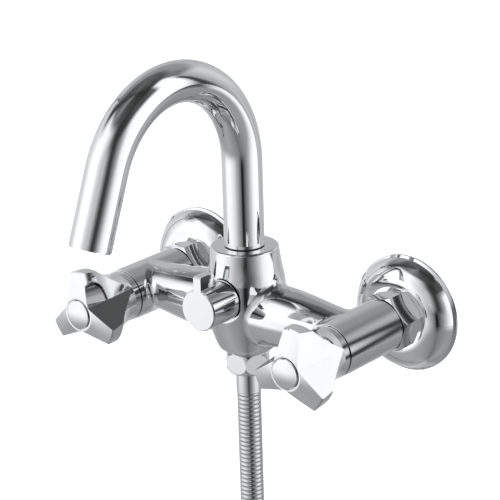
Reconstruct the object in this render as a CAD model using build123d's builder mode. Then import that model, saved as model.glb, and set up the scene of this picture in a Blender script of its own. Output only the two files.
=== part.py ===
"""Wall mounted bath faucet: two-handle mixer, swivel spout, diverter, hose and hand shower.

The origin is on the wall face, midway between the two inlets, at inlet height.
+X is to the user's right, +Z is up and the user stands on the -Y side.  Distances from the
wall towards the user are called d below, so d = -y.  All sizes are in millimetres.
"""
from build123d import *
import math
import os

os.makedirs("parts", exist_ok=True)

# ---- overall sizes -------------------------------------------------------------------------
inlet_spacing = 150.0        # centre distance of the two wall inlets
spout_d = 51.3               # distance of the spout axis from the wall
body_z = 2.4                 # height of the cross tube's axis above the inlet axes
running_gap = 0.08           # radial clearance of a shaft that turns in a bore
seat_gap = 0.05              # radial clearance of pieces that screw or press together
seam_gap = 0.4               # visible gap between a moving piece and the body

# ---- mixer body ----------------------------------------------------------------------------
barrel_r = 15.4
barrel_back_d = spout_d - 24.8
barrel_front_d = spout_d + 21.6
cross_r = 17.6
cross_straight = 24.0        # half length of the cross tube's cylindrical middle
cross_end_r = 12.9
body_blend = 5.0             # rounding where the cast tubes run into each other
hub_top_z = 40.1
hub_top_r = 19.4
hub_edge = 1.4
hub_waist_r = 22.2
hub_waist_z = 22.0
hub_low_r = 17.5
hub_low_z = -17.5
hub_floor_r = 12.5
hub_floor_z = -21.5
cross_bore_r = 7.5
valve_bore_r = 11.6
valve_seat_d = spout_d - 9.3
inlet_bore_r = 6.5

# ---- inlets --------------------------------------------------------------------------------
thread_half_r = 10.48        # G 1/2 major radius
thread_three_quarter_r = 13.22   # G 3/4 major radius
union_offset = 6.0           # the wall thread sits this much above the inlet axis
union_wall_end = 18.0        # length of the wall thread behind the wall face
union_neck_d = 6.0
union_front_d = 16.0
tail_flange_r = 12.4
tail_thread_r = 9.0
tail_thread_length = 10.0
tail_neck_r = 10.2
nut_back_d = 9.5
nut_front_d = 25.5
nut_flats = 30.0
washer_thickness = 2.0
rosette_r = 33.9
rosette_rim = 1.4
rosette_d = 13.0
rosette_mouth_r = 18.4
rosette_wall = 1.0

# ---- valves and handles --------------------------------------------------------------------
disc_r = 8.0
disc_thickness = 4.0
disc_port_r = 2.1
disc_port_offset = 4.3
headwork_back_d = valve_seat_d + 4.0
headwork_neck_r = 9.5
headwork_neck_d = barrel_front_d + 7.1
headwork_ring_d = barrel_front_d - 6.9
spindle_r = 4.0
spindle_tip_d = barrel_front_d + 25.1
spindle_ring_d = headwork_neck_d - 6.0
ring_section = 2.0           # width of every O-ring groove
handle_skirt_r = 14.8
handle_waist_d = barrel_front_d + 4.7
handle_flare_r = 17.7       # radius half way along the flare
handle_flare_d = barrel_front_d + 15.7
handle_shoulder_r = 23.8
handle_shoulder_d = barrel_front_d + 25.4
handle_arm_r = 24.5
handle_tip_d = barrel_front_d + 34.8
handle_face_d = barrel_front_d + 37.6
handle_cap_r = 8.6
handle_cap_d = handle_face_d + 0.8
handle_cap_rise = 0.7
handle_ring_r = 9.0          # bore that the index cap sits in
handle_ring_floor_d = handle_face_d - 6.5
handle_ring_land = 10.0      # radius where the arms' front faces begin
handle_wall_d = barrel_front_d + 10.1   # inner end of the hollow behind the arms
handle_hollow_r = 12.2
scoop_root_r = 9.4           # the scoops' distance from the axis at the front face
scoop_point_d = barrel_front_d + 4.1    # where the scoops run out on the skirt
scoop_angle = 19.6           # slope of a scoop's sides away from its root
scoop_round = 9.0
left_handle_turn = 5.0       # resting turn of each handle, seen by the user
right_handle_turn = -6.0
screw_head_r = 3.9
screw_head_height = 2.6
screw_seat_d = spindle_tip_d + 3.0
screw_shank_r = 1.95
screw_length = 12.0

# ---- diverter ------------------------------------------------------------------------------
diverter_z = 13.1
diverter_seat_d = spout_d + 19.3
diverter_seat_r = 13.3
diverter_bore_r = 9.6
diverter_bore_d = spout_d - 7.3
diverter_cage_r = 7.2
diverter_neck_r = 7.4
diverter_neck_d = diverter_seat_d + 5.4
diverter_ring_d = diverter_seat_d - 6.6
diverter_spindle_r = 3.5
diverter_tip_d = diverter_seat_d + 17.4
rotor_shoulder_d = diverter_seat_d - 11.1
rotor_ring_d = diverter_seat_d + 0.4
knob_r = 11.9
knob_back_d = diverter_seat_d + 0.8
knob_face_d = diverter_seat_d + 22.2
knob_hollow_r = 8.2
knob_wall_d = diverter_seat_d + 9.4
lever_top = 19.7             # height of the lever's tip above the knob's axis
lever_width = 5.2
lever_length = 11.4
grub_r = 1.5
grub_d = diverter_seat_d + 13.4

# ---- spout ---------------------------------------------------------------------------------
spout_r = 11.4
spout_wall = 1.5
spout_leg_top_z = 89.6
spout_bend_r = 55.8
spout_bend_angle = 158.0
spout_end_run = 40.9
spigot_r = 9.4
spigot_bore_r = 6.5
spigot_foot_z = 25.0
spigot_head = 11.3           # length of the spigot inside the tube
slip_ring_height = 0.5
keeper_z = 37.5              # height of the set screw that keeps the spout in
keeper_r = 1.9
aerator_depth = 12.0
aerator_r = 8.4
aerator_lip = 0.8

# ---- hose and its outlet -------------------------------------------------------------------
outlet_bore_r = 6.0
nipple_thread_r = 8.9
nipple_top_z = -14.0
nipple_foot_z = -31.0
hose_nut_flats = 23.6
hose_nut_turn = 4.0          # where the nut's corners stop when it is tight
hose_nut_z = -35.5
hose_nut_lip = 1.1
ferrule_r = 7.2
ferrule_bore_r = 4.5
ferrule_foot_z = -48.0
hose_r = 7.0
hose_last_run = 90.0         # straight run up into the hand shower

# ---- hand shower and its bracket -----------------------------------------------------------
bracket_x = -280.0
bracket_z = 209.0
bracket_width = 40.0
bracket_height = 46.0
bracket_depth = 64.0
bracket_low_depth = 58.0
cradle_d = 48.0
cradle_tilt = 12.0           # lean of the hand shower away from the wall
cradle_r = 12.45             # at mid height
cradle_taper = 0.02          # growth of the cradle's radius per millimetre upwards
cradle_slot = 17.0
bracket_screw_pitch = 22.0
bracket_screw_r = 1.9
bracket_screw_head_r = 3.8
bracket_head_d = 27.0
plug_r = 3.0
plug_length = 30.0
grip_wall = 2.4
grip_straight = 34.0
grip_bend_r = 210.0
grip_bend_angle = 38.0
grip_into_head = 14.0
head_reach = 30.0            # from the end of the grip's bend to the middle of the spray face
grip_bore_r = 7.0
grip_foot = 16.0             # the grip ends this much below the cradle's middle
cone_gap = 0.15
head_r = 40.0
head_depth = 21.0
head_rim = 4.5
head_wall = 2.0
head_face_tilt = 50.0        # angle between the grip's end direction and the spray direction
face_r = 37.6
face_thickness = 3.2
face_proud = 0.3
face_land = 1.6
face_centre_r = 10.0
nozzle_r = 1.25
nozzle_height = 1.3
nozzle_rings = ((16.0, 10), (23.5, 15), (31.0, 20))
cone_nut_length = 28.0
cone_nut_foot_r = 8.6
cone_thread_length = 11.0

# ---- places worked out from the sizes above --------------------------------------------------
sides = (("left", -inlet_spacing / 2, left_handle_turn), ("right", inlet_spacing / 2, right_handle_turn))
spout_y = -spout_d
handle_back_d = barrel_front_d + seam_gap
barrel_length = barrel_front_d - barrel_back_d
tube_bore_r = spout_r - spout_wall
nut_thread_r = thread_three_quarter_r + seat_gap
tail_flange_d = union_front_d + washer_thickness


def front(x, d, z):
    """Plane facing the user at distance d from the wall, with its origin at (x, z)."""
    return Plane(origin=(x, -d, z), x_dir=(1, 0, 0), z_dir=(0, -1, 0))


def save(piece, label):
    """Label a finished piece and write its STEP file."""
    piece.part.label = label
    export_step(piece.part, "parts/" + label + ".step")


def turned(label, outline, x=0.0, z=0.0):
    """A piece turned about the line (x, z) square to the wall; outline holds (radius, d)."""
    with BuildPart() as piece:
        with BuildSketch(Plane(origin=(x, 0, z), x_dir=(1, 0, 0), z_dir=(0, 0, -1))):
            with BuildLine():
                Polyline(*outline, close=True)
            make_face()
        revolve(axis=Axis((x, 0, z), (0, -1, 0)))
    save(piece, label)


def upright(label, outline):
    """A piece turned about the spout's vertical axis; outline holds (radius, z)."""
    with BuildPart() as piece:
        with BuildSketch(Plane(origin=(0, spout_y, 0), x_dir=(1, 0, 0), z_dir=(0, -1, 0))):
            with BuildLine():
                Polyline(*outline, close=True)
            make_face()
        revolve(axis=Axis((0, spout_y, 0), (0, 0, 1)))
    save(piece, label)


def box_outline(inner, outer, low, high):
    """Corners of a plain ring's section."""
    return ((inner, low), (outer, low), (outer, high), (inner, high))


# ---- mixer body: cross tube, two barrels and the hub, with their waterways -------------------
edge_mid = hub_edge * (1 - math.sqrt(0.5))
with BuildPart() as mixer_body:
    with BuildSketch(Plane(origin=(0, spout_y, body_z), x_dir=(1, 0, 0), z_dir=(0, -1, 0))):
        with BuildLine():
            crown = Line((-cross_straight, cross_r), (cross_straight, cross_r))
            right_fall = Spline(crown @ 1, (inlet_spacing / 2, cross_end_r), tangents=((1, 0), (1, 0)))
            left_fall = Spline(crown @ 0, (-inlet_spacing / 2, cross_end_r), tangents=((-1, 0), (-1, 0)))
            Polyline(right_fall @ 1, (inlet_spacing / 2, 0), (-inlet_spacing / 2, 0), left_fall @ 1)
        make_face()
    revolve(axis=Axis((0, spout_y, body_z), (1, 0, 0)))
    with BuildSketch(Plane(origin=(0, spout_y, 0), x_dir=(1, 0, 0), z_dir=(0, -1, 0))):
        with BuildLine():
            top = Line((0, hub_top_z), (hub_top_r - hub_edge, hub_top_z))
            rim = ThreePointArc(
                top @ 1, (hub_top_r - edge_mid, hub_top_z - edge_mid), (hub_top_r, hub_top_z - hub_edge)
            )
            cone = Line(rim @ 1, (hub_waist_r, hub_waist_z))
            belly = ThreePointArc(cone @ 1, (hub_waist_r + 0.2, 2), (hub_low_r, hub_low_z))
            chin = Spline(belly @ 1, (hub_floor_r, hub_floor_z), tangents=(belly % 1, (-1, 0)))
            Polyline(chin @ 1, (0, hub_floor_z), (0, hub_top_z))
        make_face()
    revolve(axis=Axis((0, spout_y, 0), (0, 0, 1)))
    for side, x, turn in sides:
        with BuildSketch(front(x, barrel_back_d, 0)):
            Circle(barrel_r)
        extrude(amount=barrel_length)
    seams = edges().filter_by(GeomType.CIRCLE, reverse=True).filter_by(GeomType.LINE, reverse=True)
    fillet(seams.filter_by(lambda seam: seam.length > 20), body_blend)
    for side, x, turn in sides:
        with BuildSketch(front(x, barrel_back_d, 0)):
            Circle(tail_thread_r + seat_gap)
        extrude(amount=tail_thread_length, mode=Mode.SUBTRACT)
        with BuildSketch(front(x, barrel_back_d, 0)):
            Circle(inlet_bore_r)
        extrude(amount=barrel_length, mode=Mode.SUBTRACT)
        with BuildSketch(front(x, valve_seat_d, 0)):
            Circle(valve_bore_r + seat_gap)
        extrude(amount=barrel_length, mode=Mode.SUBTRACT)
    with BuildSketch(Plane(origin=(-inlet_spacing / 2, spout_y, body_z), z_dir=(1, 0, 0))):
        Circle(cross_bore_r)
    extrude(amount=inlet_spacing, mode=Mode.SUBTRACT)
    with BuildSketch(front(0, diverter_seat_d, diverter_z)):
        Circle(diverter_seat_r)
    extrude(amount=barrel_length, mode=Mode.SUBTRACT)
    with BuildSketch(front(0, diverter_bore_d, diverter_z)):
        Circle(diverter_bore_r + seat_gap)
    extrude(amount=barrel_length, mode=Mode.SUBTRACT)
    with BuildSketch(Plane.XY.offset(spigot_foot_z - 1).move(Location((0, spout_y, 0)))):
        Circle(spigot_r + running_gap)
    extrude(amount=hub_top_z, mode=Mode.SUBTRACT)
    with BuildSketch(Plane.XY.offset(hub_floor_z).move(Location((0, spout_y, 0)))):
        Circle(outlet_bore_r)
    extrude(amount=spigot_foot_z - hub_floor_z, mode=Mode.SUBTRACT)
    with BuildSketch(Plane.XY.offset(hub_floor_z).move(Location((0, spout_y, 0)))):
        Circle(nipple_thread_r + seat_gap)
    extrude(amount=nipple_top_z - hub_floor_z, mode=Mode.SUBTRACT)
    with BuildSketch(front(0, 0, keeper_z)):
        Circle(keeper_r + seat_gap)
    extrude(amount=spout_d, mode=Mode.SUBTRACT)
save(mixer_body, "mixer_body")

# ---- inlets: eccentric unions, tails, nuts, washers and rosettes -----------------------------
for side, x, turn in sides:
    with BuildPart() as inlet_union:
        with BuildSketch(front(x, -union_wall_end, union_offset)):
            Circle(thread_half_r)
        extrude(amount=union_wall_end)
        with BuildSketch(front(x, 0, 0)):
            with Locations((0, union_offset)):
                Circle(thread_half_r + 1.2)
            Circle(thread_three_quarter_r)
            make_hull()
        extrude(amount=union_neck_d)
        with BuildSketch(front(x, union_neck_d, 0)):
            Circle(thread_three_quarter_r)
        extrude(amount=union_front_d - union_neck_d)
        with BuildSketch(front(x, -union_wall_end, union_offset)):
            Circle(inlet_bore_r)
        extrude(amount=union_wall_end + union_neck_d / 2, mode=Mode.SUBTRACT)
        with BuildSketch(front(x, union_neck_d / 2 - 1, 0)):
            Circle(inlet_bore_r)
        extrude(amount=union_front_d, mode=Mode.SUBTRACT)
    save(inlet_union, side + "_inlet_union")

    turned(side + "_inlet_tail", (
        (inlet_bore_r, tail_flange_d),
        (tail_flange_r, tail_flange_d),
        (tail_flange_r, tail_flange_d + 2.6),
        (tail_neck_r, tail_flange_d + 2.6),
        (tail_neck_r, barrel_back_d),
        (tail_thread_r, barrel_back_d),
        (tail_thread_r, barrel_back_d + tail_thread_length - 0.2),
        (inlet_bore_r, barrel_back_d + tail_thread_length - 0.2),
    ), x)

    with BuildPart() as coupling_nut:
        with BuildSketch(front(x, nut_back_d, 0)):
            RegularPolygon(nut_flats / 2, 6, major_radius=False, rotation=12)
        extrude(amount=nut_front_d - nut_back_d)
        with BuildSketch(Plane(origin=(x, 0, 0), x_dir=(1, 0, 0), z_dir=(0, 0, -1))):
            with BuildLine():
                Polyline(
                    (0, nut_back_d), (nut_flats / 2 + 0.6, nut_back_d), (nut_flats / 2 + 2.6, nut_back_d + 1.4),
                    (nut_flats / 2 + 2.6, nut_front_d - 1.4), (nut_flats / 2 + 0.6, nut_front_d),
                    (0, nut_front_d), close=True,
                )
            make_face()
        revolve(axis=Axis((x, 0, 0), (0, -1, 0)), mode=Mode.INTERSECT)
        with BuildSketch(front(x, nut_back_d, 0)):
            Circle(nut_thread_r)
        extrude(amount=tail_flange_d + 2.6 + seat_gap - nut_back_d, mode=Mode.SUBTRACT)
        with BuildSketch(front(x, nut_back_d, 0)):
            Circle(tail_neck_r + seat_gap)
        extrude(amount=nut_front_d - nut_back_d, mode=Mode.SUBTRACT)
    save(coupling_nut, side + "_coupling_nut")

    turned(side + "_inlet_washer", box_outline(inlet_bore_r + 0.5, tail_flange_r, union_front_d, tail_flange_d), x)

    with BuildPart() as rosette:
        with BuildSketch(Plane(origin=(x, 0, 0), x_dir=(1, 0, 0), z_dir=(0, 0, -1))):
            with BuildLine():
                foot = Line((rosette_r - rosette_wall, 0), (rosette_r, 0))
                rim = Line(foot @ 1, (rosette_r, rosette_rim))
                step = Line(rim @ 1, (rosette_r - 1.4, rosette_rim + 0.9))
                dome = ThreePointArc(
                    step @ 1, (rosette_r - 5.9, rosette_d - 3.4), (rosette_mouth_r, rosette_d)
                )
                lip = Line(dome @ 1, (rosette_mouth_r, rosette_d - rosette_wall))
                hollow = ThreePointArc(
                    lip @ 1, (rosette_r - 6.5, rosette_d - 4.3), (rosette_r - 1.4 - rosette_wall, rosette_rim + 0.4)
                )
                Polyline(hollow @ 1, (rosette_r - rosette_wall, rosette_rim - 0.4), foot @ 0)
            make_face()
        revolve(axis=Axis((x, 0, 0), (0, -1, 0)))
    save(rosette, side + "_rosette")

# ---- valves: one ceramic half-turn cartridge on each side --------------------------------------
for side, x, turn in sides:
    turned(side + "_seat_seal", box_outline(disc_r - 3.2, disc_r + 2.2, valve_seat_d, headwork_back_d), x)
    for disc, start in (("fixed_disc", headwork_back_d), ("moving_disc", headwork_back_d + disc_thickness)):
        with BuildPart() as ceramic:
            with BuildSketch(front(x, start + seat_gap, 0)):
                Circle(disc_r)
                with PolarLocations(disc_port_offset, 2):
                    Circle(disc_port_r, mode=Mode.SUBTRACT)
            extrude(amount=disc_thickness - seat_gap)
        save(ceramic, side + "_" + disc)
    cage_end_d = headwork_back_d + 2 * disc_thickness + 4.5
    with BuildPart() as headwork:
        with BuildSketch(Plane(origin=(x, 0, 0), x_dir=(1, 0, 0), z_dir=(0, 0, -1))):
            with BuildLine():
                Polyline(
                    (disc_r + running_gap, headwork_back_d), (valve_bore_r, headwork_back_d),
                    (valve_bore_r, headwork_ring_d), (valve_bore_r - 1.2, headwork_ring_d),
                    (valve_bore_r - 1.2, headwork_ring_d + ring_section),
                    (valve_bore_r, headwork_ring_d + ring_section),
                    (valve_bore_r, barrel_front_d), (headwork_neck_r, barrel_front_d),
                    (headwork_neck_r, headwork_neck_d), (spindle_r + running_gap, headwork_neck_d),
                    (spindle_r + running_gap, cage_end_d), (disc_r + running_gap, cage_end_d), close=True,
                )
            make_face()
        revolve(axis=Axis((x, 0, 0), (0, -1, 0)))
        with Locations(Location((x, -(headwork_back_d + 1.5 * disc_thickness), 0))):
            Cylinder(3.2, 3 * valve_bore_r, mode=Mode.SUBTRACT)
    save(headwork, side + "_valve_headwork")
    turned(side + "_headwork_o_ring", box_outline(
        valve_bore_r - 1.15, valve_bore_r, headwork_ring_d + seat_gap,
        headwork_ring_d + ring_section - seat_gap), x)
    drive_d = headwork_back_d + 2 * disc_thickness + seat_gap
    with BuildPart() as spindle:
        with BuildSketch(Plane(origin=(x, 0, 0), x_dir=(1, 0, 0), z_dir=(0, 0, -1))):
            with BuildLine():
                Polyline(
                    (0, drive_d), (disc_r - 0.2, drive_d), (disc_r - 0.2, drive_d + 4),
                    (spindle_r, drive_d + 4), (spindle_r, spindle_ring_d), (spindle_r - 1, spindle_ring_d),
                    (spindle_r - 1, spindle_ring_d + ring_section), (spindle_r, spindle_ring_d + ring_section),
                    (spindle_r, spindle_tip_d), (0, spindle_tip_d), close=True,
                )
            make_face()
        revolve(axis=Axis((x, 0, 0), (0, -1, 0)))
        with BuildSketch(front(x, screw_seat_d - screw_length - 0.5, 0)):
            Circle(screw_shank_r + seat_gap)
        extrude(amount=spindle_tip_d, mode=Mode.SUBTRACT)
    save(spindle, side + "_valve_spindle")
    turned(side + "_spindle_o_ring", box_outline(
        spindle_r - 0.95, spindle_r + 0.02, spindle_ring_d + seat_gap,
        spindle_ring_d + ring_section - seat_gap), x)

# ---- handles: three arms scooped out of a flared turned blank ---------------------------------
scoop_fall = (handle_skirt_r - scoop_root_r) / (handle_face_d - scoop_point_d)
scoop_start_d = handle_face_d + 3
scoop_length = scoop_start_d - scoop_point_d + 12
scoop_start_r = scoop_root_r - 3 * scoop_fall
scoop_reach = 45.0           # half width of the cutting wedge, well past the arms
scoop_rise = scoop_reach * math.tan(math.radians(scoop_angle))
for side, x, turn in sides:
    with BuildPart() as handle:
        with BuildSketch(Plane(origin=(x, 0, 0), x_dir=(1, 0, 0), z_dir=(0, 0, -1))):
            with BuildLine():
                skirt = Line((handle_skirt_r, handle_back_d), (handle_skirt_r, handle_waist_d))
                flare = ThreePointArc(
                    skirt @ 1, (handle_flare_r, handle_flare_d), (handle_shoulder_r, handle_shoulder_d)
                )
                tip = Line(flare @ 1, (handle_arm_r, handle_tip_d - 0.6))
                nose = Line(tip @ 1, (handle_arm_r - 0.7, handle_tip_d))
                slope = Line(nose @ 1, (handle_ring_land, handle_face_d))
                Polyline(slope @ 1, (0, handle_face_d), (0, handle_back_d), skirt @ 0)
            make_face()
        revolve(axis=Axis((x, 0, 0), (0, -1, 0)))
        for scoop in range(3):
            angle = 30 + 120 * scoop + turn
            outward = Vector(math.cos(math.radians(angle)), 0, math.sin(math.radians(angle)))
            with BuildSketch(Plane(origin=(x, -scoop_start_d, 0), x_dir=outward, z_dir=(0, -1, 0))):
                with BuildLine():
                    Polyline(
                        (scoop_start_r + scoop_rise, scoop_reach), (scoop_start_r, 0),
                        (scoop_start_r + scoop_rise, -scoop_reach), (scoop_start_r + scoop_reach, -scoop_reach),
                        (scoop_start_r + scoop_reach, scoop_reach), close=True,
                    )
                make_face()
                root = Vertex(x + outward.X * scoop_start_r, -scoop_start_d, outward.Z * scoop_start_r)
                fillet(vertices().sort_by(lambda corner: corner.distance_to(root))[0], scoop_round)
            extrude(amount=scoop_length, dir=outward * scoop_fall + Vector(0, 1, 0), mode=Mode.SUBTRACT)
        with BuildSketch(front(x, handle_back_d, 0)):
            Circle(handle_hollow_r)
        extrude(amount=handle_wall_d - handle_back_d, mode=Mode.SUBTRACT)
        with BuildSketch(front(x, handle_back_d, 0)):
            Circle(spindle_r + seat_gap)
        extrude(amount=spindle_tip_d + 0.2 - handle_back_d, mode=Mode.SUBTRACT)
        with BuildSketch(front(x, handle_back_d, 0)):
            Circle(screw_shank_r + 0.3)
        extrude(amount=handle_ring_floor_d - handle_back_d, mode=Mode.SUBTRACT)
        with BuildSketch(front(x, screw_seat_d, 0)):
            Circle(screw_head_r + 0.4)
        extrude(amount=handle_face_d, mode=Mode.SUBTRACT)
        with BuildSketch(front(x, handle_ring_floor_d, 0)):
            Circle(handle_ring_r)
        extrude(amount=handle_face_d, mode=Mode.SUBTRACT)
    print(side, "handle", round(handle.part.volume), len(handle.part.solids()))
    save(handle, side + "_handle")

for side, x, turn in sides:
    with BuildPart() as handle_screw:
        with BuildSketch(front(x, screw_seat_d, 0)):
            Circle(screw_head_r)
        extrude(amount=screw_head_height)
        with BuildSketch(front(x, screw_seat_d - screw_length, 0)):
            Circle(screw_shank_r)
        extrude(amount=screw_length)
        with BuildSketch(front(x, screw_seat_d + screw_head_height, 0)):
            Rectangle(2 * screw_head_r - 1.5, 0.9)
            Rectangle(0.9, 2 * screw_head_r - 1.5)
        extrude(amount=-1.2, mode=Mode.SUBTRACT)
    save(handle_screw, side + "_handle_screw")

    with BuildPart() as index_cap:
        with BuildSketch(Plane(origin=(x, 0, 0), x_dir=(1, 0, 0), z_dir=(0, 0, -1))):
            with BuildLine():
                shelf = handle_ring_floor_d + 3.6
                crown = ThreePointArc(
                    (0, handle_cap_d + handle_cap_rise),
                    (handle_cap_r / 2, handle_cap_d + 0.72 * handle_cap_rise),
                    (handle_cap_r - 0.5, handle_cap_d),
                )
                Polyline(
                    crown @ 1, (handle_cap_r, handle_cap_d - 0.5), (handle_cap_r, shelf),
                    (handle_ring_r - seat_gap, shelf), (handle_ring_r - seat_gap, handle_ring_floor_d),
                    (handle_cap_r - 1.4, handle_ring_floor_d), (handle_cap_r - 1.4, shelf + 1.4),
                    (0, shelf + 1.4), crown @ 0,
                )
            make_face()
        revolve(axis=Axis((x, 0, 0), (0, -1, 0)))
    save(index_cap, side + "_index_cap")

# ---- diverter: cage, rotor with spindle, seals, knob with its lever, grub screw ----------------
turned("diverter_cage", (
    (diverter_cage_r, diverter_bore_d + 1), (diverter_bore_r, diverter_bore_d + 1),
    (diverter_bore_r, diverter_ring_d), (diverter_bore_r - 1.1, diverter_ring_d),
    (diverter_bore_r - 1.1, diverter_ring_d + ring_section), (diverter_bore_r, diverter_ring_d + ring_section),
    (diverter_bore_r, diverter_seat_d), (diverter_neck_r, diverter_seat_d),
    (diverter_neck_r, diverter_neck_d), (diverter_spindle_r + running_gap, diverter_neck_d),
    (diverter_spindle_r + running_gap, rotor_shoulder_d + 0.5), (diverter_cage_r, rotor_shoulder_d + 0.5),
), 0, diverter_z)
turned("diverter_cage_o_ring", box_outline(
    diverter_bore_r - 1.05, diverter_bore_r, diverter_ring_d + seat_gap,
    diverter_ring_d + ring_section - seat_gap), 0, diverter_z)
with BuildPart() as diverter_rotor:
    with BuildSketch(Plane(origin=(0, 0, diverter_z), x_dir=(1, 0, 0), z_dir=(0, 0, -1))):
        with BuildLine():
            Polyline(
                (0, diverter_bore_d + 1.5), (diverter_cage_r - running_gap, diverter_bore_d + 1.5),
                (diverter_cage_r - running_gap, rotor_shoulder_d), (diverter_spindle_r, rotor_shoulder_d),
                (diverter_spindle_r, rotor_ring_d), (diverter_spindle_r - 0.9, rotor_ring_d),
                (diverter_spindle_r - 0.9, rotor_ring_d + ring_section),
                (diverter_spindle_r, rotor_ring_d + ring_section), (diverter_spindle_r, diverter_tip_d),
                (0, diverter_tip_d), close=True,
            )
        make_face()
    revolve(axis=Axis((0, 0, diverter_z), (0, -1, 0)))
    with BuildSketch(front(0, diverter_bore_d + 1.5, diverter_z)):
        with Locations((0, 3.2)):
            Circle(2.6)
    extrude(amount=8, mode=Mode.SUBTRACT)
    with Locations(Location((0, spout_y, diverter_z + diverter_cage_r / 2))):
        Cylinder(2.6, diverter_cage_r, mode=Mode.SUBTRACT)
save(diverter_rotor, "diverter_rotor")
turned("diverter_spindle_o_ring", box_outline(
    diverter_spindle_r - 0.85, diverter_spindle_r + 0.02, rotor_ring_d + seat_gap,
    rotor_ring_d + ring_section - seat_gap), 0, diverter_z)
with BuildPart() as diverter_knob:
    with BuildSketch(Plane(origin=(0, 0, diverter_z), x_dir=(1, 0, 0), z_dir=(0, 0, -1))):
        with BuildLine():
            Polyline(
                (0, knob_back_d), (knob_r - 0.5, knob_back_d), (knob_r, knob_back_d + 0.5),
                (knob_r, knob_face_d - 0.7), (knob_r - 0.7, knob_face_d), (0, knob_face_d), close=True,
            )
        make_face()
    revolve(axis=Axis((0, 0, diverter_z), (0, -1, 0)))
    with BuildSketch(Plane(origin=(0, 0, diverter_z), x_dir=(0, -1, 0), z_dir=(-1, 0, 0))):
        with BuildLine():
            Polyline(
                (knob_face_d - lever_length - 2.4, knob_r - 2), (knob_face_d - lever_length, lever_top - 1.6),
                (knob_face_d - lever_length + 1.2, lever_top), (knob_face_d - 0.8, lever_top),
                (knob_face_d, lever_top - 0.8), (knob_face_d, knob_r - 2), close=True,
            )
        make_face()
    extrude(amount=lever_width / 2, both=True)
    with BuildSketch(front(0, knob_back_d, diverter_z)):
        Circle(knob_hollow_r)
    extrude(amount=knob_wall_d - knob_back_d, mode=Mode.SUBTRACT)
    with BuildSketch(front(0, knob_back_d, diverter_z)):
        Circle(diverter_spindle_r + seat_gap)
    extrude(amount=diverter_tip_d + 0.2 - knob_back_d, mode=Mode.SUBTRACT)
    with BuildSketch(Plane.XY.offset(diverter_z - knob_r - 1).move(Location((0, -grub_d, 0)))):
        Circle(grub_r + seat_gap)
    extrude(amount=knob_r, mode=Mode.SUBTRACT)
save(diverter_knob, "diverter_knob")
with BuildPart() as diverter_grub_screw:
    with BuildSketch(Plane.XY.offset(diverter_z - diverter_spindle_r - 0.1).move(Location((0, -grub_d, 0)))):
        Circle(grub_r)
    extrude(amount=-6)
    with BuildSketch(Plane.XY.offset(diverter_z - diverter_spindle_r - 6.1).move(Location((0, -grub_d, 0)))):
        RegularPolygon(0.8, 6)
    extrude(amount=2, mode=Mode.SUBTRACT)
save(diverter_grub_screw, "diverter_grub_screw")

# ---- spout: spigot with its seals, slip ring, keeper screw, bent tube and aerator --------------
ring_low_z = spigot_foot_z + 3
ring_high_z = ring_low_z + 2 * ring_section
tube_foot_z = hub_top_z + slip_ring_height + 0.1
keeper_half = keeper_r + 0.2
upright("spout_spigot", (
    (spigot_bore_r, spigot_foot_z), (spigot_r, spigot_foot_z), (spigot_r, ring_low_z),
    (spigot_r - 1.2, ring_low_z), (spigot_r - 1.2, ring_low_z + ring_section), (spigot_r, ring_low_z + ring_section),
    (spigot_r, ring_high_z), (spigot_r - 1.2, ring_high_z), (spigot_r - 1.2, ring_high_z + ring_section),
    (spigot_r, ring_high_z + ring_section), (spigot_r, keeper_z - keeper_half), (spigot_r - 1, keeper_z - keeper_half),
    (spigot_r - 1, keeper_z + keeper_half), (spigot_r, keeper_z + keeper_half), (spigot_r, tube_foot_z),
    (tube_bore_r - seat_gap, tube_foot_z), (tube_bore_r - seat_gap, tube_foot_z + spigot_head),
    (spigot_bore_r, tube_foot_z + spigot_head),
))
with BuildPart() as spout_o_rings:
    for low in (ring_low_z, ring_high_z):
        with BuildSketch(Plane.XY.offset(low + seat_gap).move(Location((0, spout_y, 0)))):
            Circle(spigot_r + 0.02)
            Circle(spigot_r - 1.15, mode=Mode.SUBTRACT)
        extrude(amount=ring_section - 2 * seat_gap)
save(spout_o_rings, "spout_o_rings")
upright("spout_slip_ring", box_outline(spigot_r + 0.3, spout_r - 0.5, hub_top_z, hub_top_z + slip_ring_height))
with BuildPart() as spout_keeper_screw:
    with BuildSketch(front(0, spout_d - hub_top_r + 0.6, keeper_z)):
        Circle(keeper_r)
    extrude(amount=hub_top_r - 0.6 - spigot_r + 0.8)
    with BuildSketch(front(0, spout_d - hub_top_r + 0.6, keeper_z)):
        RegularPolygon(1.1, 6)
    extrude(amount=2.5, mode=Mode.SUBTRACT)
save(spout_keeper_screw, "spout_keeper_screw")

bend = math.radians(spout_bend_angle)
with BuildPart() as spout_tube:
    with BuildLine(Plane.YZ) as spout_line:
        leg = Line((spout_y, tube_foot_z), (spout_y, spout_leg_top_z))
        bow = JernArc(leg @ 1, leg % 1, spout_bend_r, spout_bend_angle)
        Line(bow @ 1, bow @ 1 + (bow % 1) * spout_end_run)
    with BuildSketch(Plane.XY.offset(tube_foot_z).move(Location((0, spout_y, 0)))):
        Circle(spout_r)
        Circle(tube_bore_r, mode=Mode.SUBTRACT)
    sweep()
    outlet = spout_line.line @ 1
    outlet_way = spout_line.line % 1
print("spout outlet", outlet, outlet_way, "volume", round(spout_tube.part.volume, 1), "expected", round(
    math.pi * (spout_r ** 2 - tube_bore_r ** 2) * spout_line.wire().length, 1))
save(spout_tube, "spout_tube")


def at_outlet(offset):
    """Plane across the spout's end, offset along the water's way."""
    return Plane(origin=outlet + outlet_way * offset, x_dir=(1, 0, 0), z_dir=outlet_way)


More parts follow.
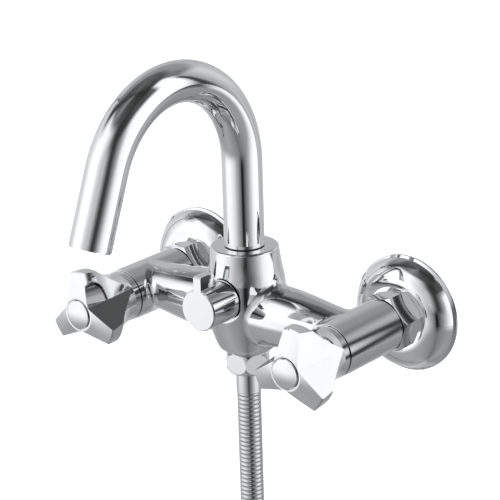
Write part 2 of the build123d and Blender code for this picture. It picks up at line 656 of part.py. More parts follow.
with BuildPart() as aerator_housing:
    with BuildSketch(at_outlet(-aerator_depth)):
        Circle(tube_bore_r - seat_gap)
        Circle(aerator_r, mode=Mode.SUBTRACT)
    extrude(amount=aerator_depth + aerator_lip)
    with BuildSketch(at_outlet(0)):
        Circle(spout_r - 0.6)
        Circle(aerator_r, mode=Mode.SUBTRACT)
    extrude(amount=aerator_lip)
    with BuildSketch(at_outlet(-1.5)):
        Circle(aerator_r)
        Circle(aerator_r - 0.8, mode=Mode.SUBTRACT)
    extrude(amount=aerator_lip + 0.7)
save(aerator_housing, "aerator_housing")
with BuildPart() as aerator_screen:
    with BuildSketch(at_outlet(-aerator_depth + 1)):
        Circle(aerator_r - seat_gap)
        with PolarLocations(5.8, 12):
            Circle(0.75, mode=Mode.SUBTRACT)
        with PolarLocations(3.0, 6):
            Circle(0.75, mode=Mode.SUBTRACT)
    extrude(amount=aerator_depth - 3)
save(aerator_screen, "aerator_screen")
with BuildPart() as aerator_washer:
    with BuildSketch(at_outlet(-aerator_depth - 2)):
        Circle(tube_bore_r - 0.1)
        Circle(aerator_r - 1.5, mode=Mode.SUBTRACT)
    extrude(amount=1.9)
save(aerator_washer, "aerator_washer")

# ---- hose connection under the hub -------------------------------------------------------------
upright("outlet_nipple", (
    (outlet_bore_r, nipple_foot_z), (thread_half_r, nipple_foot_z), (thread_half_r, hub_floor_z),
    (nipple_thread_r, hub_floor_z), (nipple_thread_r, nipple_top_z - 0.2), (outlet_bore_r, nipple_top_z - 0.2),
))
flange_top_z = nipple_foot_z - washer_thickness
nut_shelf_z = hose_nut_z + hose_nut_lip
upright("hose_washer", box_outline(ferrule_bore_r + 0.6, thread_half_r - 0.6, flange_top_z, nipple_foot_z))
with BuildPart() as hose_nut:
    with BuildSketch(Plane.XY.offset(hose_nut_z).move(Location((0, spout_y, 0)))):
        RegularPolygon(hose_nut_flats / 2, 6, major_radius=False, rotation=hose_nut_turn)
    extrude(amount=hub_floor_z - 0.4 - hose_nut_z)
    with BuildSketch(Plane(origin=(0, spout_y, 0), x_dir=(1, 0, 0), z_dir=(0, -1, 0))):
        with BuildLine():
            nut_top_z = hub_floor_z - 0.4
            nut_end_r = hose_nut_flats / 2 - 0.9
            nut_crown = ThreePointArc(
                (nut_end_r, hose_nut_z), (hose_nut_flats / 2 + 1.9, (hose_nut_z + nut_top_z) / 2),
                (nut_end_r, nut_top_z)
            )
            Polyline(nut_crown @ 1, (0, nut_top_z), (0, hose_nut_z), nut_crown @ 0)
        make_face()
    revolve(axis=Axis((0, spout_y, 0), (0, 0, 1)), mode=Mode.INTERSECT)
    with BuildSketch(Plane.XY.offset(nut_shelf_z).move(Location((0, spout_y, 0)))):
        Circle(thread_half_r + seat_gap)
    extrude(amount=-hose_nut_z, mode=Mode.SUBTRACT)
    with BuildSketch(Plane.XY.offset(hose_nut_z).move(Location((0, spout_y, 0)))):
        Circle(ferrule_r + 0.2)
    extrude(amount=-hose_nut_z, mode=Mode.SUBTRACT)
save(hose_nut, "hose_nut")
upright("upper_hose_ferrule", (
    (ferrule_bore_r, ferrule_foot_z), (ferrule_r, ferrule_foot_z), (ferrule_r, nut_shelf_z + seat_gap),
    (thread_half_r - 0.5, nut_shelf_z + seat_gap), (thread_half_r - 0.5, flange_top_z), (ferrule_bore_r, flange_top_z),
))

# ---- hand shower: everything on the line of its leaning grip ------------------------------------
lean = math.radians(cradle_tilt)
grip_up = Vector(0, -math.sin(lean), math.cos(lean))
cradle_centre = Vector(bracket_x, -cradle_d, bracket_z)


def on_grip(rise):
    """Plane across the grip, rise above the middle of the bracket's cradle."""
    return Plane(origin=cradle_centre + grip_up * rise, x_dir=(1, 0, 0), z_dir=grip_up)


grip_axis = Axis(cradle_centre, grip_up)
grip_plane = Plane(origin=cradle_centre, x_dir=(0, -math.cos(lean), -math.sin(lean)), z_dir=(-1, 0, 0))
cone_top = bracket_height / 2 + 3
grip_r = cradle_r - cone_gap + cradle_taper * cone_top
cone_foot_r = cradle_r - cone_gap - cradle_taper * grip_foot
thread_foot = -grip_foot - cone_thread_length
flange_top = thread_foot - washer_thickness
flange_foot = flange_top - 1.4
hose_top = flange_foot - 21.0


def on_grip_line(label, outline):
    """A piece turned about the grip's axis; outline holds (radius, rise above the cradle)."""
    with BuildPart() as piece:
        with BuildSketch(grip_plane):
            with BuildLine():
                Polyline(*outline, close=True)
            make_face()
        revolve(axis=grip_axis)
    save(piece, label)


with BuildPart() as handset_shell:
    with BuildSketch(grip_plane):
        with BuildLine():
            Polyline(
                (0, thread_foot), (thread_half_r, thread_foot), (thread_half_r, -grip_foot),
                (cone_foot_r, -grip_foot), (grip_r, cone_top), (grip_r, grip_straight),
                (0, grip_straight), close=True,
            )
        make_face()
    revolve(axis=grip_axis)
    with BuildLine(grip_plane) as grip_line:
        grip_curve = JernArc((0, grip_straight), (0, 1), grip_bend_r, -grip_bend_angle)
        Line(grip_curve @ 1, grip_curve @ 1 + (grip_curve % 1) * grip_into_head)
    with BuildSketch(on_grip(grip_straight)):
        Circle(grip_r)
    sweep()
    spray_angle = lean + math.radians(grip_bend_angle + head_face_tilt)
    spray_way = Vector(0, -math.sin(spray_angle), math.cos(spray_angle))
    head_centre = grip_curve @ 1 + (grip_curve % 1) * head_reach
    head_axis = Axis(head_centre, spray_way)
    head_plane = Plane(origin=head_centre, x_dir=(1, 0, 0), z_dir=Vector(1, 0, 0).cross(spray_way))
    with BuildSketch(head_plane):
        with BuildLine():
            Polyline(
                (0, -head_depth), (0, 0), (head_r - 0.8, 0), (head_r, -0.8), (head_r, -head_rim)
            )
            TangentArc((0, -head_depth), (head_r, -head_rim), tangent=(1, 0))
        make_face()
    revolve(axis=head_axis)
    with BuildSketch(grip_plane):
        Rectangle(grip_bore_r, -thread_foot + 2, align=(Align.MIN, Align.MAX))
    revolve(axis=grip_axis, mode=Mode.SUBTRACT)
    with BuildSketch(grip_plane):
        Rectangle(grip_r - grip_wall, grip_straight, align=(Align.MIN, Align.MIN))
    revolve(axis=grip_axis, mode=Mode.SUBTRACT)
    with BuildSketch(on_grip(grip_straight)):
        Circle(grip_r - grip_wall)
    sweep(path=grip_line.wire(), mode=Mode.SUBTRACT)
    with BuildSketch(head_plane):
        with BuildLine():
            Polyline(
                (0, head_wall - head_depth), (0, 1), (face_r + seat_gap, 1),
                (face_r + seat_gap, -face_thickness), (face_r - face_land, -face_thickness),
                (face_r - face_land, -head_rim - 0.5),
            )
            TangentArc(
                (0, head_wall - head_depth), (face_r - face_land, -head_rim - 0.5), tangent=(1, 0)
            )
        make_face()
    revolve(axis=head_axis, mode=Mode.SUBTRACT)
save(handset_shell, "handset_shell")


def at_face(offset):
    """Plane across the spray face, offset along the spray."""
    return Plane(origin=head_centre + spray_way * offset, x_dir=(1, 0, 0), z_dir=spray_way)


with BuildPart() as spray_face:
    with BuildSketch(at_face(seat_gap - face_thickness)):
        Circle(face_r)
    extrude(amount=face_thickness - seat_gap + face_proud)
    chamfer(faces().sort_by(head_axis)[-1].edges(), 0.6)
save(spray_face, "spray_face")
with BuildPart() as spray_nozzles:
    for ring_r, count in nozzle_rings:
        with BuildSketch(at_face(face_proud)):
            with PolarLocations(ring_r, count):
                Circle(nozzle_r)
        extrude(amount=nozzle_height, taper=12)
save(spray_nozzles, "spray_nozzles")
with BuildPart() as face_centre_disc:
    with BuildSketch(at_face(face_proud)):
        Circle(face_centre_r)
    extrude(amount=0.9)
    chamfer(faces().sort_by(head_axis)[-1].edges(), 0.4)
save(face_centre_disc, "face_centre_disc")

on_grip_line("handset_washer", box_outline(ferrule_bore_r + 0.6, thread_half_r - 0.6, flange_top, thread_foot))
nut_r = cone_foot_r - 0.13
on_grip_line("handset_cone_nut", (
    (thread_half_r + seat_gap, -grip_foot - 0.3), (nut_r, -grip_foot - 0.3), (nut_r, flange_top),
    (cone_nut_foot_r, -grip_foot - cone_nut_length), (ferrule_r + 0.2, -grip_foot - cone_nut_length),
    (ferrule_r + 0.2, flange_foot - seat_gap), (thread_half_r + seat_gap, flange_foot - seat_gap),
))
on_grip_line("lower_hose_ferrule", (
    (ferrule_bore_r, flange_top), (thread_half_r - 0.5, flange_top), (thread_half_r - 0.5, flange_foot),
    (ferrule_r, flange_foot), (ferrule_r, hose_top), (ferrule_bore_r, hose_top),
))

# ---- wall bracket: wedge block with an open conical cradle, its screws and wall plugs ----------
with BuildPart() as wall_bracket:
    with BuildSketch(Plane(origin=(bracket_x, 0, bracket_z), x_dir=(0, -1, 0), z_dir=(-1, 0, 0))):
        with BuildLine():
            half = bracket_height / 2
            Polyline((0, -half - 1), (0, half - 1), (bracket_depth, half + 2),
                     (bracket_low_depth, -half + 3), close=True)
        make_face()
    extrude(amount=bracket_width / 2, both=True)
    fillet(edges().filter_by(lambda e: abs(e.center().X - bracket_x) > 1 and e.center().Y < -bracket_low_depth / 2), 1.2)
    with BuildSketch(grip_plane):
        with BuildLine():
            Polyline((0, -40), (cradle_r - 40 * cradle_taper, -40), (cradle_r + 40 * cradle_taper, 40),
                     (0, 40), close=True)
        make_face()
    revolve(axis=grip_axis, mode=Mode.SUBTRACT)
    with BuildSketch(grip_plane):
        Rectangle(60, 100, align=(Align.MIN, Align.CENTER))
    extrude(amount=cradle_slot / 2, both=True, mode=Mode.SUBTRACT)
    for level in (-bracket_screw_pitch / 2, bracket_screw_pitch / 2):
        with BuildSketch(front(bracket_x, 0, bracket_z + level)):
            Circle(bracket_screw_r + 0.3)
        extrude(amount=cradle_d, mode=Mode.SUBTRACT)
        with BuildSketch(front(bracket_x, bracket_head_d, bracket_z + level)):
            Circle(bracket_screw_head_r + 0.3)
        extrude(amount=cradle_d - bracket_head_d, mode=Mode.SUBTRACT)
        with BuildSketch(front(bracket_x, 0, bracket_z + level)):
            Circle(plug_r + 0.4)
        extrude(amount=1.2, mode=Mode.SUBTRACT)
save(wall_bracket, "wall_bracket")
with BuildPart() as bracket_screws:
    for level in (-bracket_screw_pitch / 2, bracket_screw_pitch / 2):
        with BuildSketch(front(bracket_x, bracket_head_d, bracket_z + level)):
            Circle(bracket_screw_head_r)
        extrude(amount=2.4)
        with BuildSketch(front(bracket_x, 3 - plug_length, bracket_z + level)):
            Circle(bracket_screw_r)
        extrude(amount=bracket_head_d + plug_length - 3)
        with BuildSketch(front(bracket_x, bracket_head_d + 2.4, bracket_z + level)):
            Rectangle(4.6, 0.9)
            Rectangle(0.9, 4.6)
        extrude(amount=-1.3, mode=Mode.SUBTRACT)
save(bracket_screws, "bracket_screws")
with BuildPart() as wall_plugs:
    for level in (-bracket_screw_pitch / 2, bracket_screw_pitch / 2):
        with BuildSketch(front(bracket_x, -plug_length, bracket_z + level)):
            Circle(plug_r)
            Circle(bracket_screw_r + seat_gap, mode=Mode.SUBTRACT)
        extrude(amount=plug_length)
save(wall_plugs, "wall_plugs")

# ---- hose: hangs in one loop from the outlet to the hand shower ---------------------------------
hose_start = Vector(0, spout_y, ferrule_foot_z)
hose_end = cradle_centre + grip_up * hose_top
hose_points = [
    hose_start,
    Vector(0, spout_y, -150),
    Vector(-2, -49, -283),
    Vector(-12, -46, -398),
    Vector(-84, -44, -466),
    Vector(-196, -42, -470),
    Vector(-270, -38, -396),
    Vector(-283, -34, -264),
    Vector(-282, -28, -132),
    Vector(-281, -21, -28),
    hose_end - grip_up * hose_last_run,
    hose_end,
]
hose_radii = []
for before, here, after in zip(hose_points, hose_points[1:], hose_points[2:]):
    way_in = here - before
    way_out = after - here
    turn_angle = math.radians(way_in.get_angle(way_out))
    hose_radii.append(0.45 * min(way_in.length, way_out.length) / math.tan(turn_angle / 2))
with BuildPart() as shower_hose:
    with BuildLine() as hose_line:
        FilletPolyline(*hose_points, radius=hose_radii)
    with BuildSketch(Plane(origin=hose_start, z_dir=(0, 0, -1))):
        Circle(hose_r)
    sweep()
save(shower_hose, "shower_hose")
hose_run = hose_line.wire().length
print("hose radii", [round(r) for r in hose_radii])
print("hose points", [tuple(round(value, 2) for value in point) for point in hose_points])
print("hose length", round(hose_run, 1), "volume ratio", round(
    shower_hose.part.volume / (math.pi * hose_r ** 2 * hose_run), 5))
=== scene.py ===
"""Looks of a wall mounted bath faucet: plated mixer, swivel spout, ribbed hose and hand shower."""
import math

import bmesh
import bpy
from mathutils import Matrix, Vector


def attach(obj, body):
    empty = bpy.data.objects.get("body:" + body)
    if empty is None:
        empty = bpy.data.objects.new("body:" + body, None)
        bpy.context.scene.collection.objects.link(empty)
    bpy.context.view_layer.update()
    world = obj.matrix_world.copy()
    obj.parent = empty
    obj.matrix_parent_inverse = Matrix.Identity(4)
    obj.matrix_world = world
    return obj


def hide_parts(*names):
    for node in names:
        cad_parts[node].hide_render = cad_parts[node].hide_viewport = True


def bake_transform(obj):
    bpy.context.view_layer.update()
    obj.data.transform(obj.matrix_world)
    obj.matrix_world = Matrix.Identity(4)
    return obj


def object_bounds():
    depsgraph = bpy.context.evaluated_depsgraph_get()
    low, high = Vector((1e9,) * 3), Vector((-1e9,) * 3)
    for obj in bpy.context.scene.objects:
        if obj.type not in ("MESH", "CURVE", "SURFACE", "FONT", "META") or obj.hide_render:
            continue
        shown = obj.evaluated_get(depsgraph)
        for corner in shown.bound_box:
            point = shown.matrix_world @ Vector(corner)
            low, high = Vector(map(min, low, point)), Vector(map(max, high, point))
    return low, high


bl_info = {
    "name": "Bath Faucet Finisher",
    "version": (1, 0, 0),
    "blender": (4, 5, 0),
    "location": "3D View > Sidebar > Bath Faucet",
    "description": "Plates a wall mounted bath faucet, winds its hose and sets a studio",
    "category": "Object",
}

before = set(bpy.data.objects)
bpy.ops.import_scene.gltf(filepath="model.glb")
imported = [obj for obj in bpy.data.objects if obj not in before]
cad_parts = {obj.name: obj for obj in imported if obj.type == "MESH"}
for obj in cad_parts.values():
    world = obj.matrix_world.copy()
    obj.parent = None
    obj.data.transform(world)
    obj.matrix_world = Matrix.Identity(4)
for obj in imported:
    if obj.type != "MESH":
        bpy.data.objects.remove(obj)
CAD_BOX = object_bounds()
HANDSET_BODY = "handset"
SIDES = ("left", "right")

# The hose's route in metres: straight down from the mixer's outlet, one hanging loop, and straight
# up into the hand shower.  These are the points that the part's own tube follows.
HOSE_ROUTE = (
    (0.0, -0.0513, -0.048),
    (0.0, -0.0513, -0.150),
    (-0.002, -0.049, -0.283),
    (-0.012, -0.046, -0.398),
    (-0.084, -0.044, -0.466),
    (-0.196, -0.042, -0.470),
    (-0.270, -0.038, -0.396),
    (-0.283, -0.034, -0.264),
    (-0.282, -0.028, -0.132),
    (-0.281, -0.021, -0.028),
    (-0.280, -0.0186, 0.07069),
    (-0.280, -0.03731, 0.15872),
)
RIB_SHOULDER = 0.12              # share of the groove's depth that a rib's edge is lower than its crest

# One soft nozzle, in metres, with its rim and outlet as shares of its foot.
NOZZLE_HEIGHT = 0.0016
NOZZLE_SUNK = 0.0006             # its middle below the crest of the part's own nozzle
NOZZLE_TAPER = 0.72
NOZZLE_RIM = 0.28
NOZZLE_OUTLET = 0.16

MIXER_MIDDLE = Vector((0, -0.06, 0.02))
AIM_RIGHT = 0.0069               # how far the view's middle is off the mixer's middle, as slopes
AIM_UP = 0.0156
SENSOR_WIDTH = 36

TURNING_RINGS = 900.0
TURNING_DEPTH = 0.00001
NUT_SOFTNESS = 0.03              # extra roughness of nuts and hose ends, which are handled with tools
NUT_HAZE = 0.08
NUT_WAVES = 80.0


# ---- sizes and colours that a user would change ---------------------------------------------------
class PlatingSettings(bpy.types.PropertyGroup):
    """Chrome plating on the mixer, the spout and the handles."""
    tint: bpy.props.FloatVectorProperty(
        name="Plating Colour", description="Reflected colour of the chrome", subtype="COLOR", size=3,
        min=0, max=1, default=(0.80, 0.81, 0.825))
    roughness: bpy.props.FloatProperty(
        name="Roughness", description="Blur of the reflections", min=0, max=1, default=0.035)
    haze: bpy.props.FloatProperty(
        name="Haze", description="Extra blur where the plating has been touched", min=0, max=0.3,
        default=0.035)
    waviness: bpy.props.FloatProperty(
        name="Waviness", description="Depth of the slow unevenness left by polishing", min=0,
        unit="LENGTH", default=0.00002)


class HoseSettings(bpy.types.PropertyGroup):
    """Double-lock steel hose."""
    diameter: bpy.props.FloatProperty(
        name="Diameter", description="Outside diameter over the ribs", unit="LENGTH", default=0.014)
    rib_pitch: bpy.props.FloatProperty(
        name="Rib Pitch", description="Distance from one rib to the next", unit="LENGTH", default=0.0026)
    groove_depth: bpy.props.FloatProperty(
        name="Groove Depth", description="Depth between two ribs", unit="LENGTH", default=0.0007)
    sides: bpy.props.IntProperty(
        name="Sides", description="Flat faces around the hose", min=8, max=48, default=22)


class HandShowerSettings(bpy.types.PropertyGroup):
    """Plastic pieces of the hand shower and its bracket."""
    face_colour: bpy.props.FloatVectorProperty(
        name="Face Colour", description="Moulded spray face", subtype="COLOR", size=3, min=0, max=1,
        default=(0.37, 0.375, 0.38))
    nozzle_colour: bpy.props.FloatVectorProperty(
        name="Nozzle Colour", description="Soft nozzles", subtype="COLOR", size=3, min=0, max=1,
        default=(0.085, 0.088, 0.09))
    nozzle_width: bpy.props.FloatProperty(
        name="Nozzle Width", description="Across the foot of one soft nozzle", unit="LENGTH", default=0.0046)
    bracket_colour: bpy.props.FloatVectorProperty(
        name="Bracket Colour", description="Satin metallic coating of the bracket", subtype="COLOR", size=3,
        min=0, max=1, default=(0.42, 0.43, 0.44))


class StudioSettings(bpy.types.PropertyGroup):
    """Camera, floor and light."""
    azimuth: bpy.props.FloatProperty(
        name="Azimuth", description="Camera's turn to the user's right of straight ahead", subtype="ANGLE",
        default=math.radians(40.4))
    elevation: bpy.props.FloatProperty(
        name="Elevation", description="Camera's height as an angle", subtype="ANGLE",
        default=math.radians(20.16))
    roll: bpy.props.FloatProperty(
        name="Roll", description="Lean of the camera", subtype="ANGLE", default=math.radians(-1.9))
    distance: bpy.props.FloatProperty(
        name="Distance", description="From the camera to the middle of the mixer", unit="LENGTH",
        default=1.1625)
    lens: bpy.props.FloatProperty(
        name="Lens", description="Focal length in millimetres", default=149.4)
    floor_drop: bpy.props.FloatProperty(
        name="Floor Drop", description="Space between the hose's lowest bend and the floor", unit="LENGTH",
        default=0.06)
    floor_glow: bpy.props.FloatProperty(
        name="Floor Glow", description="Light from the pale floor itself", min=0, default=0.7)
    brightness: bpy.props.FloatProperty(
        name="Brightness", description="Strength of the studio's surroundings", min=0, default=1.0)


# ---- small helpers ----------------------------------------------------------------------------------
def node(name):
    """A CAD node's object."""
    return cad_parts[name]


def both(*names):
    """Each name once for each side of the mixer."""
    return [side + "_" + name for side in SIDES for name in names]


def loose_parts(mesh):
    """The places of each separate solid's corners in a mesh."""
    build = bmesh.new()
    build.from_mesh(mesh)
    bmesh.ops.remove_doubles(build, verts=build.verts, dist=0.000001)
    met = set()
    parts = []
    for start in build.verts:
        if start in met:
            continue
        met.add(start)
        front = [start]
        places = []
        while front:
            corner = front.pop()
            places.append(corner.co.copy())
            for edge in corner.link_edges:
                other = edge.other_vert(corner)
                if other not in met:
                    met.add(other)
                    front.append(other)
        parts.append(places)
    build.free()
    return parts


def add(tree, kind, place, **values):
    """A new shader node with its plain settings and unlinked inputs set."""
    made = tree.nodes.new(kind)
    made.location = place
    for key, value in values.items():
        if key in made.inputs:
            made.inputs[key].default_value = value
        else:
            setattr(made, key, value)
    return made


def new_group(name, inputs, outputs):
    """An empty shader node group with its sockets, and its input and output nodes."""
    group = bpy.data.node_groups.new(name, "ShaderNodeTree")
    for label, kind, default in inputs:
        socket = group.interface.new_socket(label, in_out="INPUT", socket_type=kind)
        socket.default_value = default
    for label, kind in outputs:
        group.interface.new_socket(label, in_out="OUTPUT", socket_type=kind)
    enter = add(group, "NodeGroupInput", (-900, 0))
    leave = add(group, "NodeGroupOutput", (700, 0))
    return group, enter, leave


# ---- effects that several finishes share ------------------------------------------------------------
def polish_group():
    """Polished plating: slow waves, faint touched patches and very fine hairlines."""
    group, enter, leave = new_group(
        "Polished Plating",
        [("Tint", "NodeSocketColor", (0.8, 0.8, 0.8, 1)), ("Roughness", "NodeSocketFloat", 0.04),
         ("Haze", "NodeSocketFloat", 0.04), ("Wave Size", "NodeSocketFloat", 30.0)],
        [("Color", "NodeSocketColor"), ("Roughness", "NodeSocketFloat"), ("Height", "NodeSocketFloat")])
    link = group.links.new
    place = add(group, "ShaderNodeTexCoord", (-900, -300))
    patches = add(group, "ShaderNodeTexNoise", (-650, 150), Scale=26.0, Detail=5.0, Roughness=0.62)
    link(place.outputs["Object"], patches.inputs["Vector"])
    touched = add(group, "ShaderNodeMapRange", (-430, 150), **{
        "From Min": 0.48, "From Max": 0.78, "To Min": 0.0, "To Max": 1.0})
    link(patches.outputs["Fac"], touched.inputs["Value"])
    hairlines = add(group, "ShaderNodeTexNoise", (-650, -120), Scale=2600.0, Detail=2.0, Roughness=0.5)
    stretch = add(group, "ShaderNodeMapping", (-860, -120), Scale=(1.0, 0.08, 1.0))
    link(place.outputs["Object"], stretch.inputs["Vector"])
    link(stretch.outputs["Vector"], hairlines.inputs["Vector"])
    blur = add(group, "ShaderNodeMath", (-200, 120), operation="MULTIPLY_ADD")
    link(touched.outputs["Result"], blur.inputs[0])
    link(enter.outputs["Haze"], blur.inputs[1])
    link(enter.outputs["Roughness"], blur.inputs[2])
    fine = add(group, "ShaderNodeMath", (0, 60), operation="MULTIPLY_ADD")
    fine.inputs[1].default_value = 0.012
    link(hairlines.outputs["Fac"], fine.inputs[0])
    link(blur.outputs["Value"], fine.inputs[2])
    dull = add(group, "ShaderNodeMixRGB", (-200, 340), blend_type="MULTIPLY")
    dull.inputs["Color2"].default_value = (0.955, 0.96, 0.965, 1)
    link(touched.outputs["Result"], dull.inputs["Fac"])
    link(enter.outputs["Tint"], dull.inputs["Color1"])
    waves = add(group, "ShaderNodeTexNoise", (-650, -380), Detail=1.5, Roughness=0.4)
    link(place.outputs["Object"], waves.inputs["Vector"])
    link(enter.outputs["Wave Size"], waves.inputs["Scale"])
    link(dull.outputs["Color"], leave.inputs["Color"])
    link(fine.outputs["Value"], leave.inputs["Roughness"])
    link(waves.outputs["Fac"], leave.inputs["Height"])
    return group


def turning_group():
    """Fine rings left by a lathe, around the piece's own middle."""
    group, enter, leave = new_group(
        "Turning Marks",
        [("Ring Size", "NodeSocketFloat", 900.0), ("Strength", "NodeSocketFloat", 0.05)],
        [("Value", "NodeSocketFloat"), ("Height", "NodeSocketFloat")])
    link = group.links.new
    place = add(group, "ShaderNodeTexCoord", (-900, -200))
    rings = add(group, "ShaderNodeTexWave", (-600, 0), wave_type="BANDS", bands_direction="Y",
                Distortion=1.5, Detail=2.0)
    link(place.outputs["Object"], rings.inputs["Vector"])
    link(enter.outputs["Ring Size"], rings.inputs["Scale"])
    depth = add(group, "ShaderNodeMath", (-350, 0), operation="MULTIPLY")
    link(rings.outputs["Fac"], depth.inputs[0])
    link(enter.outputs["Strength"], depth.inputs[1])
    link(depth.outputs["Value"], leave.inputs["Value"])
    link(rings.outputs["Fac"], leave.inputs["Height"])
    return group


def grain_group():
    """Moulded skin: a fine even grain with faint cloudiness."""
    group, enter, leave = new_group(
        "Moulded Grain",
        [("Color", "NodeSocketColor", (0.5, 0.5, 0.5, 1)), ("Roughness", "NodeSocketFloat", 0.5),
         ("Grain Size", "NodeSocketFloat", 1800.0)],
        [("Color", "NodeSocketColor"), ("Roughness", "NodeSocketFloat"), ("Height", "NodeSocketFloat")])
    link = group.links.new
    place = add(group, "ShaderNodeTexCoord", (-900, -300))
    cloud = add(group, "ShaderNodeTexNoise", (-650, 150), Scale=45.0, Detail=4.0)
    link(place.outputs["Object"], cloud.inputs["Vector"])
    pale = add(group, "ShaderNodeMixRGB", (-200, 300), blend_type="MULTIPLY")
    pale.inputs["Color2"].default_value = (0.90, 0.90, 0.905, 1)
    link(cloud.outputs["Fac"], pale.inputs["Fac"])
    link(enter.outputs["Color"], pale.inputs["Color1"])
    grain = add(group, "ShaderNodeTexNoise", (-650, -150), Detail=3.0, Roughness=0.6)
    link(place.outputs["Object"], grain.inputs["Vector"])
    link(enter.outputs["Grain Size"], grain.inputs["Scale"])
    rough = add(group, "ShaderNodeMath", (-200, 0), operation="MULTIPLY_ADD")
    rough.inputs[1].default_value = 0.12
    link(cloud.outputs["Fac"], rough.inputs[0])
    link(enter.outputs["Roughness"], rough.inputs[2])
    link(pale.outputs["Color"], leave.inputs["Color"])
    link(rough.outputs["Value"], leave.inputs["Roughness"])
    link(grain.outputs["Fac"], leave.inputs["Height"])
    return group


def shared(maker, name):
    """A node group, built the first time it is asked for."""
    return bpy.data.node_groups.get(name) or maker()


def place_group(tree, group, at):
    """A shared node group, placed in a material."""
    made = tree.nodes.new("ShaderNodeGroup")
    made.node_tree = group
    made.location = at
    return made


def blank(name):
    """A material with only its Principled shader, and that shader."""
    material = bpy.data.materials.new(name)
    material.use_nodes = True
    shader = next(item for item in material.node_tree.nodes if item.type == "BSDF_PRINCIPLED")
    return material, material.node_tree, shader


def add_bump(tree, shader, height, distance):
    """Relief of a finish, from its height to the shader."""
    bump = add(tree, "ShaderNodeBump", (-220, -320), Strength=1.0, Distance=distance)
    tree.links.new(height, bump.inputs["Height"])
    tree.links.new(bump.outputs["Normal"], shader.inputs["Normal"])


def plated(name, tint, roughness, haze, waviness, wave_size=30.0):
    """Mirror chrome over polished metal."""
    material, tree, shader = blank(name)
    shader.inputs["Metallic"].default_value = 1.0
    finish = place_group(tree, shared(polish_group, "Polished Plating"), (-500, 100))
    finish.inputs["Tint"].default_value = (*tint, 1)
    finish.inputs["Roughness"].default_value = roughness
    finish.inputs["Haze"].default_value = haze
    finish.inputs["Wave Size"].default_value = wave_size
    tree.links.new(finish.outputs["Color"], shader.inputs["Base Color"])
    tree.links.new(finish.outputs["Roughness"], shader.inputs["Roughness"])
    add_bump(tree, shader, finish.outputs["Height"], waviness)
    return material


def turned_metal(name, colour, roughness):
    """Machined metal with lathe rings."""
    material, tree, shader = blank(name)
    shader.inputs["Metallic"].default_value = 1.0
    finish = place_group(tree, shared(polish_group, "Polished Plating"), (-700, 200))
    finish.inputs["Tint"].default_value = (*colour, 1)
    finish.inputs["Roughness"].default_value = roughness
    finish.inputs["Haze"].default_value = 0.12
    marks = place_group(tree, shared(turning_group, "Turning Marks"), (-700, -150))
    marks.inputs["Ring Size"].default_value = TURNING_RINGS
    marks.inputs["Strength"].default_value = 0.08
    total = add(tree, "ShaderNodeMath", (-400, 0), operation="ADD")
    tree.links.new(finish.outputs["Roughness"], total.inputs[0])
    tree.links.new(marks.outputs["Value"], total.inputs[1])
    tree.links.new(finish.outputs["Color"], shader.inputs["Base Color"])
    tree.links.new(total.outputs["Value"], shader.inputs["Roughness"])
    add_bump(tree, shader, marks.outputs["Height"], TURNING_DEPTH)
    return material


def moulded(name, colour, roughness, grain_size=1800.0, depth=0.00002, metallic=0.0, coat=0.0):
    """Moulded plastic, rubber or fired ceramic."""
    material, tree, shader = blank(name)
    shader.inputs["Metallic"].default_value = metallic
    shader.inputs["Coat Weight"].default_value = coat
    finish = place_group(tree, shared(grain_group, "Moulded Grain"), (-500, 100))
    finish.inputs["Color"].default_value = (*colour, 1)
    finish.inputs["Roughness"].default_value = roughness
    finish.inputs["Grain Size"].default_value = grain_size
    tree.links.new(finish.outputs["Color"], shader.inputs["Base Color"])
    tree.links.new(finish.outputs["Roughness"], shader.inputs["Roughness"])
    add_bump(tree, shader, finish.outputs["Height"], depth)
    return material


def dress(names, material):
    """The same finish on each named CAD node."""
    for name in names:
        piece = node(name)
        for slot in piece.material_slots:
            slot.material = material


# ---- the mixer ----------------------------------------------------------------------------------------
class FAUCET_OT_plate_mixer(bpy.types.Operator):
    """Chrome the cast body, the spout, the rosettes, the nuts and the diverter knob"""
    bl_idname = "faucet.plate_mixer"
    bl_label = "Plate Mixer"

    def execute(self, context):
        plating = context.scene.faucet_plating
        tint = tuple(plating.tint)
        fine = (plating.roughness, plating.haze, plating.waviness)
        dress(["mixer_body"], plated("cast body plating", tint, *fine, wave_size=24.0))
        dress(["spout_tube"], plated("spout plating", tint, *fine, wave_size=16.0))
        dress(both("rosette"), plated("rosette plating", tint, *fine, wave_size=34.0))
        dress(["diverter_knob", "aerator_housing"], plated("knob plating", tint, *fine, wave_size=60.0))
        soft = tuple(0.96 * part for part in tint)
        dress(both("coupling_nut", "inlet_union", "inlet_tail")
              + ["hose_nut", "upper_hose_ferrule", "outlet_nipple"],
              plated("nut plating", soft, plating.roughness + NUT_SOFTNESS, NUT_HAZE, plating.waviness,
                     NUT_WAVES))
        return {"FINISHED"}


class FAUCET_OT_plate_handles(bpy.types.Operator):
    """Chrome the two handles and their domed caps"""
    bl_idname = "faucet.plate_handles"
    bl_label = "Plate Handles"

    def execute(self, context):
        plating = context.scene.faucet_plating
        tint = tuple(plating.tint)
        dress(both("handle"), plated("handle plating", tint, plating.roughness, plating.haze,
                                     plating.waviness, 40.0))
        dress(both("index_cap"), plated("cap plating", tint, plating.roughness, plating.haze,
                                        plating.waviness, 70.0))
        return {"FINISHED"}


